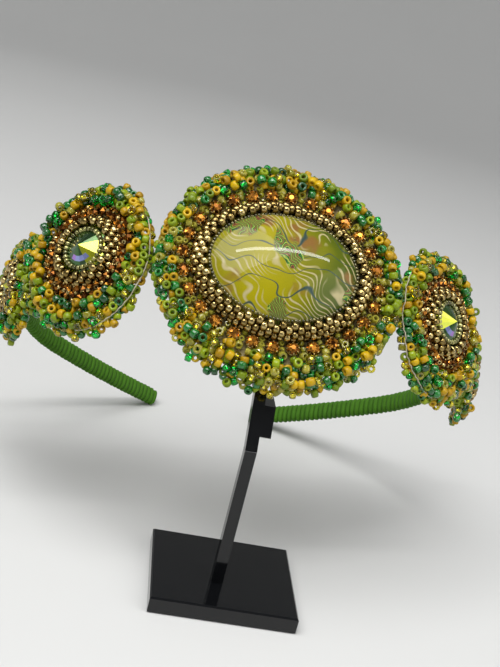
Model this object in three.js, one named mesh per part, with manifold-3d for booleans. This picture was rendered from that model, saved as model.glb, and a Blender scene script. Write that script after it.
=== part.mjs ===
// Beaded headband on a small display stand.
// Millimetres, +Z up, origin at the middle of the underside of the stand's base.
// The headband leans back: its crown sits on the stand's arm and both tips rest behind it.
import * as THREE from 'three';
import { mergeVertices } from 'three/addons/utils/BufferGeometryUtils.js';
import Module from 'manifold-3d';

const wasm = await Module();
wasm.setup();

// Gaps between pieces that touch on the real object
const JOINT_GAP = 0.2;
const SEAT_GAP = 0.3;

// Display stand: a base block and a square bar whose upper stretch leans back
const BASE_WIDTH = 38;
const BASE_DEPTH = 31;
const BASE_HEIGHT = 4.6;
const BASE_CHAMFER = 0.4;
const BAR_SIDE = 3;
const POST_HEIGHT = 38.3;
const POST_X = -1.9;
const POST_Y = -4;
const ARM_LENGTH = 40.3;
const ARM_LEAN = 29;
const LEDGE_WIDTH = 2.6;
const LEDGE_THICKNESS = 2.6;
const LEDGE_LENGTH = 7.8;
const LEDGE_REACH = 8.5;
const LEDGE_RISE = 3.5;

// Hair band wound with cord: a strip that bends round the head
const BAND_X = -2.2;
const BAND_HALF_WIDTH = 65;
const BAND_THICKNESS = 3.8;
const BAND_HEIGHT = 6.2;
const BAND_STEPS = 54;
const SECTION_SIDES = 10;
const SECTION_POWER = 0.6;
const END_ROUND_SIDES = 8;
const END_ROUNDING = 1.9;
const SLOPE_TRIES = 40;
const LOWEST_SLOPE_ANGLE = 10;
const HIGHEST_SLOPE_ANGLE = 80;

// Arcs from the crown to one tip: radius as a share of the half width, turn in degrees
const BAND_ARCS = [
  { radius: 1.62, turn: 12 },
  { radius: 0.87, turn: 34 },
  { radius: 0.72, turn: 82.5 },
  { radius: 4.25, turn: 10.3 },
];

// Felt backings and how far the medallions lean forward of the band
const FELT_THICKNESS = 1.4;
const MEDALLION_TILT = 2.9;
const MEDALLION_GAP = 0.5;
const EDGE_BEAD = 2.4;
const OVAL_STEPS = 40;
const SPACING_STEP = 0.05;
const OVAL_SAMPLES = 720;

// Center medallion: oval glass cabochon, gold bezel, ring of crystals, bead border
const CABOCHON_WIDTH = 40;
const CABOCHON_HEIGHT = 30;
const CABOCHON_RISE = 7.6;
const CABOCHON_WALL = 1.5;
const DOME_STEPS = 6;
const CENTER_BEZEL_WIDTH = 3.0;
const CENTER_BEZEL_RISE = 4.8;
const BEZEL_LIP = 0.8;
const BEZEL_FOOT_INSET = 0.2;
const CRYSTAL_COUNT = 28;
const CRYSTAL_SIZE = 3.3;
const CRYSTAL_RISE = 2.4;
const CRYSTAL_FACETS = 8;
const CRYSTAL_ROOM = 0.9;
const BORDER_RISE = 2.6;
const BORDER_ROUNDING = 0.6;
const BORDER_RIPPLE = 0.4;
const CENTER_BORDER_SIDE = 4.4;
const CENTER_BORDER_TOP = 6.3;
const CENTER_BORDER_FOOT = 8.1;
const CENTER_BORDER_STEPS = 52;

// Side medallions: pointed round stone, gold bezel, ring of crystals, bead border
const SIDE_STONE = 14;
const SIDE_STONE_RISE = 5.6;
const STONE_FACETS = 16;
const SIDE_BEZEL_WIDTH = 2.7;
const SIDE_BEZEL_RISE = 4.2;
const SIDE_BEZEL_STEPS = 28;
const SIDE_CRYSTALS = 16;
const SIDE_CRYSTAL_SIZE = 2.8;
const FOOTING_REACH = 0.84;
const FOOTING_RISE = 0.8;
const SIDE_BORDER_SIDE = 4.9;
const SIDE_BORDER_TOP = 5.4;
const SIDE_BORDER_FOOT = 7.8;
const SIDE_BORDER_STEPS = 40;

// End medallions: smaller pointed stone, gold bezel, bead border
const END_STONE = 10;
const END_STONE_RISE = 4.2;
const END_BEZEL_WIDTH = 2.7;
const END_BEZEL_RISE = 3.6;
const END_BEZEL_STEPS = 22;
const END_DROP = 1;
const END_BORDER_SIDE = 5.4;
const END_BORDER_TOP = 6.2;
const END_BORDER_FOOT = 5.4;
const END_BORDER_STEPS = 32;

const BLACK_ACRYLIC = { color: 0x0b0c0e, roughness: 0.08, metalness: 0 };
const GREEN_CORD = { color: 0x2f6b2a, roughness: 0.8, metalness: 0 };
const BEIGE_FELT = { color: 0xb9ab86, roughness: 0.95, metalness: 0 };
const GOLD_BEADS = { color: 0xb98f45, roughness: 0.25, metalness: 1 };
const PRINTED_GLASS = { color: 0x9aa51f, roughness: 0.05, metalness: 0 };
const TOPAZ_GLASS = { color: 0xc4631a, roughness: 0.1, metalness: 0 };
const LIME_GLASS = { color: 0xa9b81e, roughness: 0.05, metalness: 0.1 };
const SEED_BEADS = { color: 0x8a9a26, roughness: 0.3, metalness: 0 };

// Merges shared corners and turns the faces outwards, so that the geometry is a closed solid
function closed(geometry) {
  const bare = new THREE.BufferGeometry();
  bare.setAttribute('position', geometry.getAttribute('position').clone());
  if (geometry.index) bare.setIndex(geometry.index.clone());
  const merged = mergeVertices(bare, 1e-4);
  const index = Array.from(merged.index.array);
  const faces = [];
  for (let i = 0; i < index.length; i += 3) {
    const [a, b, c] = index.slice(i, i + 3);
    if (a !== b && b !== c && c !== a) faces.push([a, b, c]);
  }
  const corner = (i) => new THREE.Vector3().fromBufferAttribute(merged.attributes.position, i);
  const volume = faces.reduce((sum, [a, b, c]) => sum + corner(a).dot(corner(b).cross(corner(c))), 0);
  const outward = volume < 0 ? faces.map(([a, b, c]) => [a, c, b]) : faces;
  merged.setIndex(outward.flat());
  return merged;
}

// Fuses closed geometries into one body
function fused(geometries) {
  const solids = geometries.map((geometry) => new wasm.Manifold(new wasm.Mesh({
    numProp: 3,
    vertProperties: new Float32Array(geometry.attributes.position.array),
    triVerts: new Uint32Array(geometry.index.array),
  })));
  const mesh = solids.reduce((sum, solid) => sum.add(solid)).getMesh();
  const result = new THREE.BufferGeometry();
  result.setAttribute('position', new THREE.Float32BufferAttribute(mesh.vertProperties, 3));
  result.setIndex(Array.from(mesh.triVerts));
  return result;
}

function piece(name, geometry, material) {
  const mesh = new THREE.Mesh(geometry, new THREE.MeshStandardMaterial(material));
  mesh.name = name;
  return mesh;
}

// Solid of revolution about Z from [radius, height] pairs, stretched to an oval
function turned(profile, steps, stretchY = 1) {
  const points = profile.map(([radius, height]) => new THREE.Vector2(radius, height));
  const geometry = new THREE.LatheGeometry(points, steps);
  geometry.rotateX(Math.PI / 2);
  geometry.scale(1, stretchY, 1);
  return closed(geometry);
}

// Ring through a closed loop of rows: each row gives an oval, a height and a ripple.
// The ripple pushes every second step outwards, like the beads of an edge.
function ovalRing(rows, steps) {
  const corners = [];
  const faces = [];
  const at = (step, row) => (step % steps) * rows.length + (row % rows.length);
  for (let step = 0; step < steps; step++) {
    const angle = (2 * Math.PI * step) / steps;
    rows.forEach(([oval, height, ripple = 0], row) => {
      const place = ovalPoint(oval, angle, step % 2 === 0 ? ripple : 0);
      corners.push(place.x, place.y, height);
      faces.push(at(step, row), at(step + 1, row), at(step, row + 1));
      faces.push(at(step, row + 1), at(step + 1, row), at(step + 1, row + 1));
    });
  }
  const geometry = new THREE.BufferGeometry();
  geometry.setAttribute('position', new THREE.Float32BufferAttribute(corners, 3));
  geometry.setIndex(faces);
  return closed(geometry);
}

function ovalPoint(oval, angle, push = 0) {
  const x = (oval.halfX + push) * Math.cos(angle);
  const y = oval.rise + (oval.halfY + push) * Math.sin(angle);
  return new THREE.Vector2(x, y);
}

function grown(oval, offset) {
  return { halfX: oval.halfX + offset, halfY: oval.halfY + offset, rise: oval.rise };
}

function between(inner, outer, share) {
  const mix = (key) => inner[key] + (outer[key] - inner[key]) * share;
  return { halfX: mix('halfX'), halfY: mix('halfY'), rise: mix('rise') };
}

// Place and heading of the band's middle line at a length from the crown, negative to the left
function bandPoint(length) {
  const side = Math.sign(length) || 1;
  let left = Math.abs(length);
  let heading = 0;
  let x = 0;
  let y = 0;
  for (const arc of BAND_ARCS) {
    const radius = arc.radius * BAND_HALF_WIDTH;
    const span = Math.min(left, radius * THREE.MathUtils.degToRad(arc.turn));
    const next = heading + span / radius;
    x += radius * (Math.sin(next) - Math.sin(heading));
    y += radius * (Math.cos(heading) - Math.cos(next));
    heading = next;
    left -= span;
  }
  return { x: side * x, y, heading: side * heading };
}

const BAND_HALF_LENGTH = BAND_ARCS.reduce(
  (sum, arc) => sum + arc.radius * BAND_HALF_WIDTH * THREE.MathUtils.degToRad(arc.turn), 0);

class BandCurve extends THREE.Curve {
  getPoint(t, target = new THREE.Vector3()) {
    const place = bandPoint((2 * t - 1) * BAND_HALF_LENGTH);
    return target.set(place.x, place.y, 0);
  }
}

// Strip with a rounded section and rounded ends; it lies in its own XY plane, crown at the origin
function bandGeometry() {
  const section = [];
  for (let i = 0; i < SECTION_SIDES; i++) {
    const angle = (2 * Math.PI * (i + 0.5)) / SECTION_SIDES;
    const across = Math.sign(Math.cos(angle)) * Math.abs(Math.cos(angle)) ** SECTION_POWER;
    const through = Math.sign(Math.sin(angle)) * Math.abs(Math.sin(angle)) ** SECTION_POWER;
    section.push(new THREE.Vector2(across * BAND_HEIGHT / 2, through * BAND_THICKNESS / 2));
  }
  const strip = new THREE.ExtrudeGeometry(new THREE.Shape(section), {
    steps: BAND_STEPS,
    extrudePath: new BandCurve(),
  });
  const ends = [-1, 1].map((side) => {
    const tip = bandPoint(side * BAND_HALF_LENGTH);
    const round = new THREE.SphereGeometry(1, SECTION_SIDES, END_ROUND_SIDES);
    round.rotateX(Math.PI / 2);
    round.scale(END_ROUNDING, BAND_THICKNESS / 2, BAND_HEIGHT / 2);
    round.rotateZ(tip.heading);
    round.translate(tip.x, tip.y, 0);
    return closed(round);
  });
  return fused([closed(strip), ...ends]);
}

// Slope at which the crown sits on the arm's top while the tips touch the ground
function restingSlope(geometry, armTop) {
  const corner = new THREE.Vector3();
  let gentle = LOWEST_SLOPE_ANGLE;
  let steep = HIGHEST_SLOPE_ANGLE;
  for (let i = 0; i < SLOPE_TRIES; i++) {
    const middle = (gentle + steep) / 2;
    const pose = bandPose(middle, armTop);
    let lowest = Infinity;
    for (let k = 0; k < geometry.attributes.position.count; k++) {
      corner.fromBufferAttribute(geometry.attributes.position, k).applyMatrix4(pose);
      lowest = Math.min(lowest, corner.z);
    }
    if (lowest > 0) gentle = middle;
    else steep = middle;
  }
  return gentle;
}

// Pose of the band's plane: it turns about X by the slope, its lower edge on the arm's top
function bandPose(slope, armTop) {
  const turn = new THREE.Matrix4().makeRotationX(-THREE.MathUtils.degToRad(slope));
  const up = new THREE.Vector3(0, 0, BAND_HEIGHT / 2 + SEAT_GAP).applyMatrix4(turn);
  return turn.setPosition(BAND_X, armTop.y + up.y, armTop.z + up.z);
}

// Bar of the stand: its side outline in [back, up] pairs, drawn out to a width along X
function acrylicBar(name, width, outline) {
  const side = new THREE.Shape(outline.map(([back, up]) => new THREE.Vector2(back, up)));
  const bar = new THREE.ExtrudeGeometry(side, { depth: width, bevelEnabled: false });
  bar.translate(0, 0, -width / 2);
  bar.applyMatrix4(new THREE.Matrix4().makeBasis(
    new THREE.Vector3(0, 1, 0), new THREE.Vector3(0, 0, 1), new THREE.Vector3(1, 0, 0)));
  return piece(name, closed(bar), BLACK_ACRYLIC);
}

function standGroup() {
  const stand = new THREE.Group();
  const plan = new THREE.Shape();
  const halfX = BASE_WIDTH / 2 - BASE_CHAMFER;
  const halfY = BASE_DEPTH / 2 - BASE_CHAMFER;
  plan.moveTo(-halfX, -halfY);
  plan.lineTo(halfX, -halfY);
  plan.lineTo(halfX, halfY);
  plan.lineTo(-halfX, halfY);
  const block = new THREE.ExtrudeGeometry(plan, {
    depth: BASE_HEIGHT - 2 * BASE_CHAMFER,
    bevelThickness: BASE_CHAMFER,
    bevelSize: BASE_CHAMFER,
    bevelSegments: 1,
  });
  const base = piece('stand_base', closed(block), BLACK_ACRYLIC);
  base.position.z = BASE_CHAMFER;

  // Post and arm meet in a mitre: each is cut at half the lean, with the joint between them
  const half = BAR_SIDE / 2;
  const rise = half * Math.tan(LEAN / 2);
  const joint = JOINT_GAP / 2 / Math.cos(LEAN / 2);
  const post = acrylicBar('stand_post', BAR_SIDE, [
    [-half, -POST_HEIGHT],
    [half, -POST_HEIGHT],
    [half, -rise - joint],
    [-half, rise - joint],
  ]);
  const arm = acrylicBar('stand_arm', BAR_SIDE, [
    [-half, joint - rise],
    [half, joint + rise],
    [half, ARM_LENGTH],
    [-half, ARM_LENGTH],
  ]);
  const ledge = ledgeBar();
  ledge.position.x = (BAR_SIDE + LEDGE_WIDTH) / 2 + JOINT_GAP;
  const leaning = new THREE.Group();
  leaning.rotation.x = -LEAN;
  leaning.add(arm, ledge);
  const elbow = new THREE.Group();
  elbow.position.set(POST_X, POST_Y, ELBOW_HEIGHT);
  elbow.add(post, leaning);

  stand.add(base, elbow);
  return stand;
}

// Bent bar beside the arm: its front leg leans with the arm, and its top leg runs level to the back
function ledgeBar() {
  const front = -BAR_SIDE / 2;
  const inner = front + LEDGE_THICKNESS;
  const top = LEDGE_RISE + LEDGE_LENGTH;
  const level = (back, depth) => [
    front + back * Math.cos(LEAN) + depth * Math.sin(LEAN),
    top + back * Math.sin(LEAN) - depth * Math.cos(LEAN),
  ];
  const bend = LEDGE_THICKNESS * (1 - Math.sin(LEAN)) / Math.cos(LEAN);
  return acrylicBar('stand_ledge', LEDGE_WIDTH, [
    [front, LEDGE_RISE],
    [inner, LEDGE_RISE],
    level(bend, LEDGE_THICKNESS),
    level(LEDGE_REACH, LEDGE_THICKNESS),
    level(LEDGE_REACH, 0),
    level(0, 0),
  ]);
}

const LEAN = THREE.MathUtils.degToRad(ARM_LEAN);
const ELBOW_HEIGHT = BASE_HEIGHT + JOINT_GAP + POST_HEIGHT;

// Middle of the arm's upper end
function armTop() {
  return { y: POST_Y + ARM_LENGTH * Math.sin(LEAN), z: ELBOW_HEIGHT + ARM_LENGTH * Math.cos(LEAN) };
}

// Group whose X runs along the band, Y up the medallion and Z out of its face
function medallionGroup(length, drop = 0) {
  const place = bandPoint(length);
  const along = new THREE.Vector3(Math.cos(place.heading), Math.sin(place.heading), 0);
  const out = new THREE.Vector3(Math.sin(place.heading), -Math.cos(place.heading), 0);
  const up = new THREE.Vector3(0, 0, 1).applyAxisAngle(along, THREE.MathUtils.degToRad(MEDALLION_TILT));
  const face = new THREE.Vector3().crossVectors(along, up);
  const group = new THREE.Group();
  group.position.set(place.x, place.y, -drop).addScaledVector(out, BAND_THICKNESS / 2 + SEAT_GAP);
  group.quaternion.setFromRotationMatrix(new THREE.Matrix4().makeBasis(along, up, face));
  return group;
}

// Length along the band at which a medallion's near edge clears its neighbor's far edge
function lengthBeside(neighbor, neighborHalf, half) {
  const farEdge = edgePoint(neighbor, neighborHalf);
  let length = neighbor;
  let gap = -Infinity;
  while (gap < MEDALLION_GAP && length < BAND_HALF_LENGTH) {
    length += SPACING_STEP;
    const nearEdge = edgePoint(length, -half);
    const heading = (bandPoint(neighbor).heading + bandPoint(length).heading) / 2;
    gap = (nearEdge.x - farEdge.x) * Math.cos(heading) + (nearEdge.y - farEdge.y) * Math.sin(heading);
  }
  return length;
}

function edgePoint(length, offset) {
  const place = bandPoint(length);
  const out = BAND_THICKNESS / 2;
  return {
    x: place.x + out * Math.sin(place.heading) + offset * Math.cos(place.heading),
    y: place.y - out * Math.cos(place.heading) + offset * Math.sin(place.heading),
  };
}

// Felt plate whose edge lies one bead inside the border's edge
function backing(name, outer) {
  const edge = grown(outer, -EDGE_BEAD - SEAT_GAP);
  const plan = new THREE.Shape();
  plan.absellipse(0, edge.rise, edge.halfX, edge.halfY, 0, 2 * Math.PI);
  const plate = new THREE.ExtrudeGeometry(plan, {
    depth: FELT_THICKNESS,
    bevelEnabled: false,
    curveSegments: OVAL_STEPS / 2,
  });
  return piece(name, closed(plate), BEIGE_FELT);
}

const PIECE_SEAT = FELT_THICKNESS + SEAT_GAP;

// Heights of a bezel's profile as shares of its rise
const BEZEL_WAIST_SHARE = 0.45;
const BEZEL_WALL_SHARE = 0.62;
const BEZEL_LIP_SHARE = 0.8;
const BEZEL_CROWN_SHARE = 0.9;
const BEZEL_CROWN_PLACE_SHARE = 0.55;

// Gold bead ring that holds a stone: it stands round the stone and leans in over its shoulder
function bezel(name, stone, width, rise, steps) {
  const wall = grown(stone, SEAT_GAP);
  const lip = grown(stone, -BEZEL_LIP);
  const outer = grown(stone, width);
  const ring = piece(name, ovalRing([
    [wall, 0],
    [grown(outer, -BEZEL_FOOT_INSET), 0],
    [outer, rise * BEZEL_WAIST_SHARE],
    [between(lip, outer, BEZEL_CROWN_PLACE_SHARE), rise * BEZEL_CROWN_SHARE],
    [lip, rise],
    [lip, rise * BEZEL_LIP_SHARE],
    [wall, rise * BEZEL_WALL_SHARE],
  ], steps), GOLD_BEADS);
  ring.position.z = PIECE_SEAT;
  return ring;
}

// Heights of a border's profile as shares of its rise, and where across it they stand
const BORDER_EDGE_SHARE = 0.7;
const BORDER_INNER_RISE_SHARE = 0.8;
const BORDER_INNER_PLACE_SHARE = 0.08;

// Field of seed beads round a medallion: it covers the felt and hangs over its edge
function border(name, inner, outer, steps) {
  const felt = grown(outer, -EDGE_BEAD);
  return piece(name, ovalRing([
    [inner, PIECE_SEAT],
    [felt, PIECE_SEAT],
    [felt, 0],
    [grown(outer, -BORDER_ROUNDING), 0, BORDER_RIPPLE],
    [outer, PIECE_SEAT, BORDER_RIPPLE],
    [grown(outer, -BORDER_ROUNDING), PIECE_SEAT + BORDER_RISE * BORDER_EDGE_SHARE, BORDER_RIPPLE],
    [between(inner, outer, 0.5), PIECE_SEAT + BORDER_RISE],
    [between(inner, outer, BORDER_INNER_PLACE_SHARE), PIECE_SEAT + BORDER_RISE * BORDER_INNER_RISE_SHARE],
  ], steps), SEED_BEADS);
}

// Shares of a cut crystal: its foot, its table and the height of its widest line
const CRYSTAL_FOOT_SHARE = 0.85;
const CRYSTAL_TABLE_SHARE = 0.55;
const CRYSTAL_GIRDLE_SHARE = 0.5;

// Cut crystal in its cup: eight crown facets round a table
function crystalGeometry(size) {
  const radius = size / 2;
  return turned([
    [0, 0],
    [radius * CRYSTAL_FOOT_SHARE, 0],
    [radius, CRYSTAL_RISE * CRYSTAL_GIRDLE_SHARE],
    [radius * CRYSTAL_TABLE_SHARE, CRYSTAL_RISE],
    [0, CRYSTAL_RISE],
  ], CRYSTAL_FACETS);
}

// Shares of a pointed stone: its foot and the band round its widest line
const STONE_FOOT_SHARE = 0.5;
const STONE_GIRDLE_LOW_SHARE = 0.35;
const STONE_GIRDLE_HIGH_SHARE = 0.42;

// Stone with long facets that rise to a point
function pointedStone(name, size, rise) {
  const radius = size / 2;
  const stone = piece(name, turned([
    [0, 0],
    [radius * STONE_FOOT_SHARE, 0],
    [radius, rise * STONE_GIRDLE_LOW_SHARE],
    [radius, rise * STONE_GIRDLE_HIGH_SHARE],
    [0, rise],
  ], STONE_FACETS), LIME_GLASS);
  stone.position.z = PIECE_SEAT;
  return stone;
}

// Oval on which the crystals stand, outside a bezel
function crystalLine(stone, bezelWidth, size) {
  return grown(stone, bezelWidth + (CRYSTAL_ROOM + size) / 2);
}

// Outer oval of a bead border with its own width at the sides, top and foot
function widened(inner, side, top, foot) {
  return {
    halfX: inner.halfX + side,
    halfY: inner.halfY + (top + foot) / 2,
    rise: inner.rise + (top - foot) / 2,
  };
}

const CENTER_STONE = { halfX: CABOCHON_WIDTH / 2, halfY: CABOCHON_HEIGHT / 2, rise: 0 };
const CENTER_LINE = crystalLine(CENTER_STONE, CENTER_BEZEL_WIDTH, CRYSTAL_SIZE);
const CENTER_INNER = grown(CENTER_LINE, (CRYSTAL_SIZE + CRYSTAL_ROOM) / 2);
const CENTER_OUTER = widened(CENTER_INNER, CENTER_BORDER_SIDE, CENTER_BORDER_TOP, CENTER_BORDER_FOOT);

const SIDE_RISE = (SIDE_BORDER_FOOT - SIDE_BORDER_TOP) / 2;
const SIDE_OVAL = { halfX: SIDE_STONE / 2, halfY: SIDE_STONE / 2, rise: SIDE_RISE };
const SIDE_LINE = crystalLine(SIDE_OVAL, SIDE_BEZEL_WIDTH, SIDE_CRYSTAL_SIZE);
const SIDE_INNER = grown(SIDE_LINE, (SIDE_CRYSTAL_SIZE + CRYSTAL_ROOM) / 2);
const SIDE_OUTER = widened(SIDE_INNER, SIDE_BORDER_SIDE, SIDE_BORDER_TOP, SIDE_BORDER_FOOT);

const END_RISE = (END_BORDER_FOOT - END_BORDER_TOP) / 2;
const END_OVAL = { halfX: END_STONE / 2, halfY: END_STONE / 2, rise: END_RISE };
const END_INNER = grown(END_OVAL, END_BEZEL_WIDTH + SEAT_GAP);
const END_OUTER = widened(END_INNER, END_BORDER_SIDE, END_BORDER_TOP, END_BORDER_FOOT);

const SIDE_LENGTH = lengthBeside(0, CENTER_OUTER.halfX, SIDE_OUTER.halfX);
const END_LENGTH = lengthBeside(SIDE_LENGTH, SIDE_OUTER.halfX, END_OUTER.halfX);

function centerMedallion() {
  const group = medallionGroup(0);
  const radius = CABOCHON_WIDTH / 2;
  const dome = [[0, 0], [radius, 0]];
  for (let i = 0; i <= DOME_STEPS; i++) {
    const angle = (Math.PI / 2) * (i / DOME_STEPS);
    const height = CABOCHON_WALL + (CABOCHON_RISE - CABOCHON_WALL) * Math.sin(angle);
    dome.push([radius * Math.cos(angle), height]);
  }
  dome[dome.length - 1][0] = 0;
  const glass = piece('cabochon', turned(dome, OVAL_STEPS, CABOCHON_HEIGHT / CABOCHON_WIDTH), PRINTED_GLASS);
  glass.position.z = PIECE_SEAT;
  group.add(
    backing('center_backing', CENTER_OUTER),
    glass,
    bezel('center_bezel', CENTER_STONE, CENTER_BEZEL_WIDTH, CENTER_BEZEL_RISE, OVAL_STEPS),
    border('center_bead_border', CENTER_INNER, CENTER_OUTER, CENTER_BORDER_STEPS),
  );
  for (const [i, angle] of evenAngles(CENTER_LINE, CRYSTAL_COUNT).entries()) {
    const number = String(i + 1).padStart(2, '0');
    const crystal = piece(`center_crystal_${number}`, crystalGeometry(CRYSTAL_SIZE), TOPAZ_GLASS);
    const place = ovalPoint(CENTER_LINE, angle);
    crystal.position.set(place.x, place.y, PIECE_SEAT);
    crystal.rotation.z = angle;
    group.add(crystal);
  }
  return group;
}

// Angles that space points evenly along an oval's length
function evenAngles(oval, count) {
  const lengths = [0];
  for (let i = 1; i <= OVAL_SAMPLES; i++) {
    const before = ovalPoint(oval, (2 * Math.PI * (i - 1)) / OVAL_SAMPLES);
    const after = ovalPoint(oval, (2 * Math.PI * i) / OVAL_SAMPLES);
    lengths.push(lengths[i - 1] + before.distanceTo(after));
  }
  return Array.from({ length: count }, (_, k) => {
    const target = (lengths[OVAL_SAMPLES] * k) / count;
    return (2 * Math.PI * lengths.findIndex((length) => length >= target)) / OVAL_SAMPLES;
  });
}

function sideMedallion(name, length) {
  const group = medallionGroup(length);
  const stone = pointedStone(`${name}_stone`, SIDE_STONE, SIDE_STONE_RISE);
  stone.position.y = SIDE_RISE;
  const near = grown(SIDE_LINE, -FOOTING_REACH);
  const far = grown(SIDE_LINE, FOOTING_REACH);
  const footing = ovalRing(
    [[near, 0], [far, 0], [far, FOOTING_RISE], [near, FOOTING_RISE]], 2 * SIDE_CRYSTALS);
  const crystals = evenAngles(SIDE_LINE, SIDE_CRYSTALS).map((angle) => {
    const place = ovalPoint(SIDE_LINE, angle);
    const crystal = crystalGeometry(SIDE_CRYSTAL_SIZE);
    crystal.rotateZ(angle);
    crystal.translate(place.x, place.y, 0);
    return crystal;
  });
  const ring = piece(`${name}_crystal_ring`, fused([footing, ...crystals]), TOPAZ_GLASS);
  ring.position.z = PIECE_SEAT;
  group.add(
    backing(`${name}_backing`, SIDE_OUTER),
    stone,
    bezel(`${name}_bezel`, SIDE_OVAL, SIDE_BEZEL_WIDTH, SIDE_BEZEL_RISE, SIDE_BEZEL_STEPS),
    ring,
    border(`${name}_bead_border`, SIDE_INNER, SIDE_OUTER, SIDE_BORDER_STEPS),
  );
  return group;
}

function endMedallion(name, length) {
  const group = medallionGroup(length, END_DROP);
  const stone = pointedStone(`${name}_stone`, END_STONE, END_STONE_RISE);
  stone.position.y = END_RISE;
  group.add(
    backing(`${name}_backing`, END_OUTER),
    stone,
    bezel(`${name}_bezel`, END_OVAL, END_BEZEL_WIDTH, END_BEZEL_RISE, END_BEZEL_STEPS),
    border(`${name}_bead_border`, END_INNER, END_OUTER, END_BORDER_STEPS),
  );
  return group;
}

function headbandGroup() {
  const strip = bandGeometry();
  const headband = new THREE.Group();
  bandPose(restingSlope(strip, armTop()), armTop())
    .decompose(headband.position, headband.quaternion, headband.scale);
  headband.add(
    piece('hair_band', strip, GREEN_CORD),
    centerMedallion(),
    sideMedallion('left_side', -SIDE_LENGTH),
    sideMedallion('right_side', SIDE_LENGTH),
    endMedallion('left_end', -END_LENGTH),
    endMedallion('right_end', END_LENGTH),
  );
  return headband;
}

const part = new THREE.Group();
part.add(standGroup(), headbandGroup());
export default part;
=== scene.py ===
# Looks of the beaded headband on its display stand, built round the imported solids.
# Medallion work is laid out in millimetres in each medallion's own frame, then set in metres.
import itertools
import math

import bpy
import numpy as np
from mathutils import Matrix, Vector


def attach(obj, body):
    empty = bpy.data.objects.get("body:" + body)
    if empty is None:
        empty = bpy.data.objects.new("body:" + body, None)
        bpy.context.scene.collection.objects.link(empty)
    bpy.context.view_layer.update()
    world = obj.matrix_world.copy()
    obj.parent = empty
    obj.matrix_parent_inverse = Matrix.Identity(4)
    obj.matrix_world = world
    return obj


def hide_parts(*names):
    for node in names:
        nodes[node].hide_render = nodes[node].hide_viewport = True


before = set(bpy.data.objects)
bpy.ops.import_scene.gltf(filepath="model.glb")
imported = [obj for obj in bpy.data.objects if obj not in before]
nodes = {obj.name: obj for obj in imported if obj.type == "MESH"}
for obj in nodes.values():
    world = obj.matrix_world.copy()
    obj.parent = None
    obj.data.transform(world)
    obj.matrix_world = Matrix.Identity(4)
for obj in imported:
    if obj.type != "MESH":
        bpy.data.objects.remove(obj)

MM = 0.001
TURN = 2 * math.pi
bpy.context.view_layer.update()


# Camera: its place in metres, its angles in degrees and its lens in millimetres
CAMERA_PLACE = (-0.04103, -0.21302, 0.14956)
CAMERA_AZIMUTH = 8.72
CAMERA_PITCH = 19.91
CAMERA_ROLL = 14.0
CAMERA_LENS = 51.98


def add_camera():
    """Camera at the photograph's viewing angle."""
    angles = (CAMERA_AZIMUTH, CAMERA_PITCH, CAMERA_ROLL)
    azimuth, pitch, roll = (math.radians(angle) for angle in angles)
    forward = Vector((
        math.cos(pitch) * math.sin(azimuth),
        math.cos(pitch) * math.cos(azimuth),
        -math.sin(pitch),
    ))
    level = Vector((math.cos(azimuth), -math.sin(azimuth), 0))
    upright = level.cross(forward)
    right = level * math.cos(roll) + upright * math.sin(roll)
    up = upright * math.cos(roll) - level * math.sin(roll)
    camera = bpy.data.objects.new("camera", bpy.data.cameras.new("camera"))
    camera.data.lens = CAMERA_LENS
    camera.data.clip_start = 0.01
    camera.data.clip_end = 50
    turn = Matrix((right, up, -forward)).transposed()
    camera.matrix_world = Matrix.Translation(CAMERA_PLACE) @ turn.to_4x4()
    bpy.context.scene.collection.objects.link(camera)
    bpy.context.scene.camera = camera


# Node materials
BLACK = (0.0, 0.0, 0.0)
WHITE = (1.0, 1.0, 1.0)
GRAIN_SCALE = 900
RELIEF_SCALE = 420
RELIEF_DEPTH = 0.0002


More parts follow.
